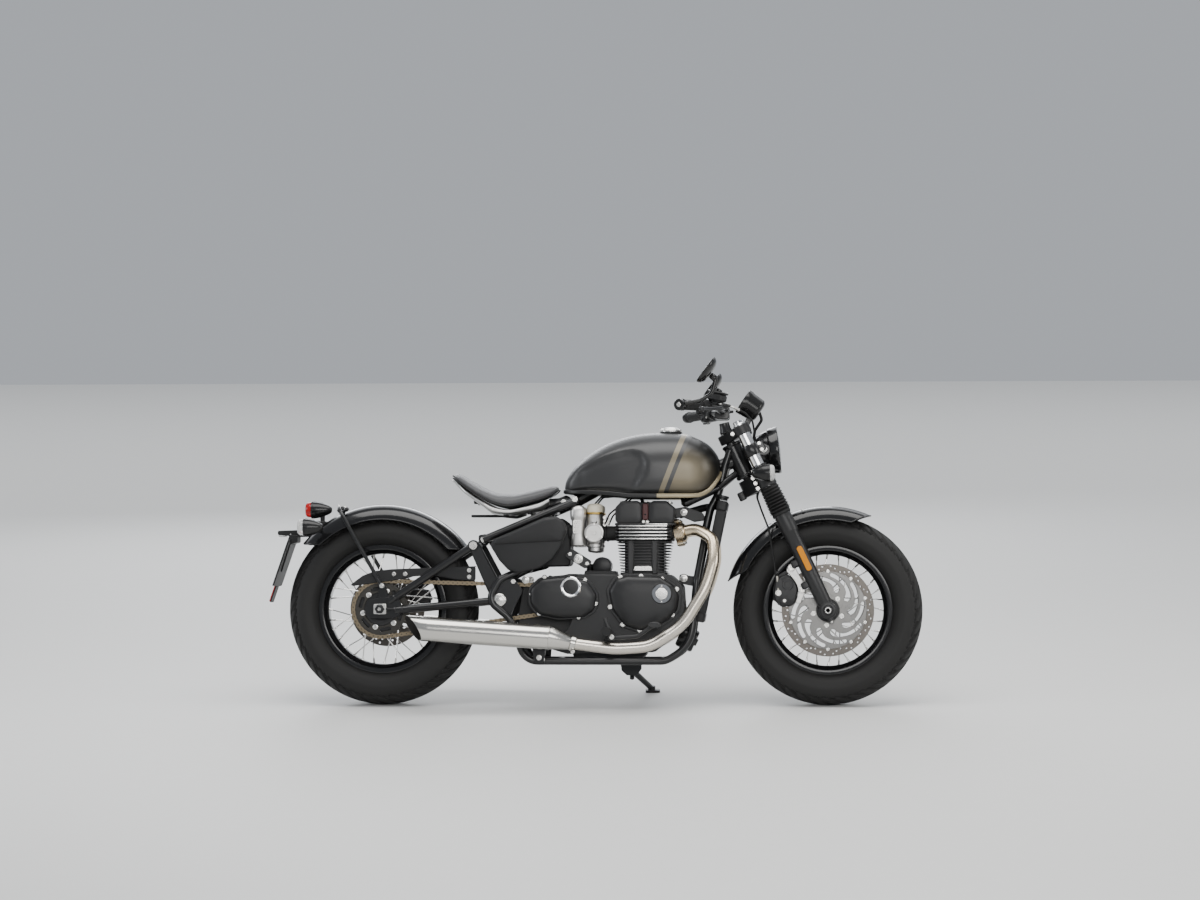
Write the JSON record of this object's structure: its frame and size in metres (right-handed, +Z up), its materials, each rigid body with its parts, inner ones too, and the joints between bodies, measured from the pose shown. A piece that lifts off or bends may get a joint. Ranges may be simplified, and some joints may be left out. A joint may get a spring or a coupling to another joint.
{
  "type": "bobber motorcycle",
  "caption": "Low single-seat bobber motorcycle parked on its side stand, with twin slash-cut silencers, spoked wheels and turning steering.",
  "frame": {"origin": "on the ground under the middle of the parked motorcycle's bounding box", "axes": "+X forwards, +Y to the rider's left (the side it leans to), +Z up; the motorcycle leans 8 degrees to the left about +X"},
  "size_m": [2.2078, 0.9323, 1.1931],
  "materials": {
    "black_frame_paint": "gloss black",
    "tank_paint": "matt graphite with bronze",
    "engine_black": "satin black coated",
    "bare_aluminium": "cast satin",
    "stainless": "brushed stainless",
    "polished_steel": "polished",
    "black_steel": "satin black",
    "chain_steel": "oiled",
    "tyre": "matt tread",
    "black_rubber": "matt",
    "black_plastic": "matt",
    "black_gloss": "gloss",
    "seat_cover": "grained",
    "clear_glass": "clear"
  },
  "bodies": {
    "chassis": {"frame_backbone": "black_frame_paint", "frame_cradle": "black_frame_paint", "crankcase": "engine_black", "cylinder_block": "engine_black", "cylinder_head": "engine_black", "cam_cover": "engine_black", "engine_covers": "engine_black", "throttle_bodies": "bare_aluminium", "side_panels": "black_plastic", "radiator": "engine_black", "exhaust_headers": "stainless", "mufflers": "stainless", "fuel_tank": "tank_paint", "fuel_cap": "polished_steel", "seat_pad": "seat_cover", "seat_pan": "bare_aluminium", "swingarm": "black_frame_paint", "rear_shock": "black_steel", "rear_axle": "black_steel", "drive_chain": "chain_steel", "chain_guard": "black_frame_paint", "rear_fender": "black_frame_paint", "rear_lights": "black_gloss", "plate_holder": "black_plastic", "rear_caliper": "engine_black", "foot_controls": "black_steel"},
    "steering": {"front_axle": "black_steel", "fork_sliders": "engine_black", "fork_gaiters": "black_rubber", "fork_tubes": "polished_steel", "triple_clamps": "engine_black", "lamp_brackets": "black_steel", "handlebar": "black_steel", "grips": "black_rubber", "hand_controls": "black_plastic", "mirrors": "black_gloss", "instrument": "black_gloss", "headlight": "black_gloss", "headlight_glass": "clear_glass", "front_indicators": "black_gloss", "front_calipers": "engine_black", "front_fender": "black_frame_paint", "brake_hoses": "black_rubber"},
    "front_wheel": {"front_tyre": "tyre", "front_rim": "engine_black", "front_spokes": "stainless", "front_hub": "engine_black", "front_discs": "stainless"},
    "rear_wheel": {"rear_tyre": "tyre", "rear_rim": "engine_black", "rear_spokes": "stainless", "rear_hub": "engine_black", "rear_disc": "stainless", "rear_sprocket": "chain_steel"},
    "side_stand": {"side_stand": "black_frame_paint"}
  },
  "joints": [
    {"name": "steering_head", "type": "hinge", "parent": "chassis", "child": "steering", "pos_m": [0.48931, -0.03938, 0.81212], "axis": [-0.4289, 0.1257, 0.8945], "range_deg": [-32, 32]},
    {"name": "front_wheel_spin", "type": "hinge", "parent": "steering", "child": "front_wheel", "pos_m": [0.786, -0.10914, 0.31576], "axis": [0, 0.9903, -0.1392], "continuous": true},
    {"name": "rear_wheel_spin", "type": "hinge", "parent": "chassis", "child": "rear_wheel", "pos_m": [-0.714, -0.10859, 0.31972], "axis": [0, 0.9903, -0.1392], "continuous": true},
    {"name": "side_stand_fold", "type": "hinge", "parent": "chassis", "child": "side_stand", "pos_m": [0.121, -0.00215, 0.0927], "axis": [0, 0.7232, 0.6907], "range_deg": [0, 95.5]}
  ]
}
